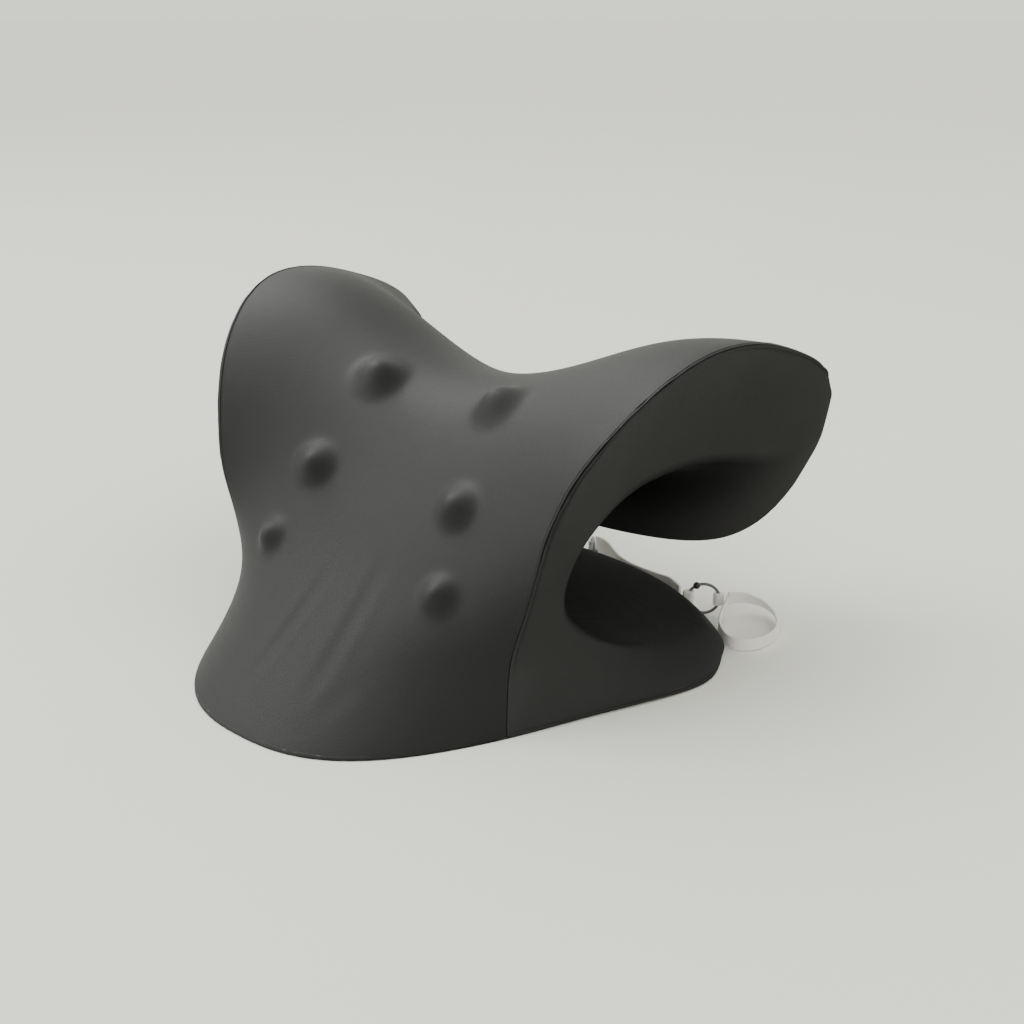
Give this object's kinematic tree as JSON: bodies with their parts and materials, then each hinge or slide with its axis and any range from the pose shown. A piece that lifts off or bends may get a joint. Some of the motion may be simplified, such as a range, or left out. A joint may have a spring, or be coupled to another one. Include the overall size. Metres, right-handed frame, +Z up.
{
  "type": "cervical traction device",
  "caption": "C-shaped foam neck stretcher in a sewn stretch cover, with a saddle-topped ramp, raised massage domes, a zip in the slot lining and a hanging ring strap.",
  "frame": {"origin": "middle of the base's underside, below the middle of the body's box (the hanging strap left out)", "axes": "+Z up; +X to the user's right, along the slot; the ramp with the massage domes faces -Y and the slot opens towards +Y"},
  "size_m": [0.2166, 0.2096, 0.1251],
  "materials": {
    "cover_stretch": "matt dark grey knitted stretch fabric",
    "cover_lining": "matt near-black knitted fabric",
    "cover_base": "black non-slip woven fabric",
    "foam": "dense open-cell polyurethane foam",
    "dome": "firm moulded polyurethane",
    "welt": "black folded seam fabric",
    "zip_nylon": "black woven and moulded nylon",
    "zip_metal": "black lacquered zinc",
    "ring_metal": "dark plated steel wire",
    "webbing": "off-white flat woven webbing"
  },
  "bodies": {
    "covered_body": {"foam_core": "foam", "massage_dome_upper_right": "dome", "massage_dome_upper_left": "dome", "massage_dome_middle_right": "dome", "massage_dome_middle_left": "dome", "massage_dome_lower_right": "dome", "massage_dome_lower_left": "dome", "cover_front_panel": "cover_stretch", "cover_side_and_slot_panel": "cover_lining", "cover_base_panel": "cover_base", "edge_welt_right": "welt", "edge_welt_left": "welt", "lip_welt": "welt", "base_welt_front": "welt", "base_welt_right": "welt", "base_welt_left": "welt", "base_welt_rear": "welt", "zip_tape_upper": "zip_nylon", "zip_coil_upper": "zip_nylon", "zip_tape_lower": "zip_nylon", "zip_coil_lower": "zip_nylon", "zip_stop_closed": "zip_metal", "zip_stop_open": "zip_metal", "strap_tab": "welt"},
    "zip_slider": {"zip_slider": "zip_metal"},
    "zip_pull": {"zip_pull": "zip_metal"},
    "tab_ring": {"tab_ring": "ring_metal", "band_fold_tab": "webbing", "strap_band": "webbing", "band_fold_link": "webbing"},
    "link_ring": {"link_ring": "ring_metal", "link_ring_bead": "zip_nylon", "loop_ferrule": "webbing", "strap_loop": "webbing"}
  },
  "joints": [
    {"name": "zip_slide", "type": "slide", "parent": "covered_body", "child": "zip_slider", "axis": [1, 0, 0], "range_m": [0, 0.081]},
    {"name": "zip_pull_swing", "type": "hinge", "parent": "zip_slider", "child": "zip_pull", "pos_m": [-0.0405, -0.0187, 0.046], "axis": [1, 0, 0], "range_deg": [0, 110]},
    {"name": "tab_ring_swing", "type": "hinge", "parent": "covered_body", "child": "tab_ring", "pos_m": [0.01656, 0.0765, 0.0071], "axis": [0, 0, 1], "range_deg": [0, 25]},
    {"name": "link_ring_swing", "type": "hinge", "parent": "tab_ring", "child": "link_ring", "pos_m": [0.06804, 0.06799, 0.0071], "axis": [0, 0, 1], "range_deg": [0, 30]}
  ]
}
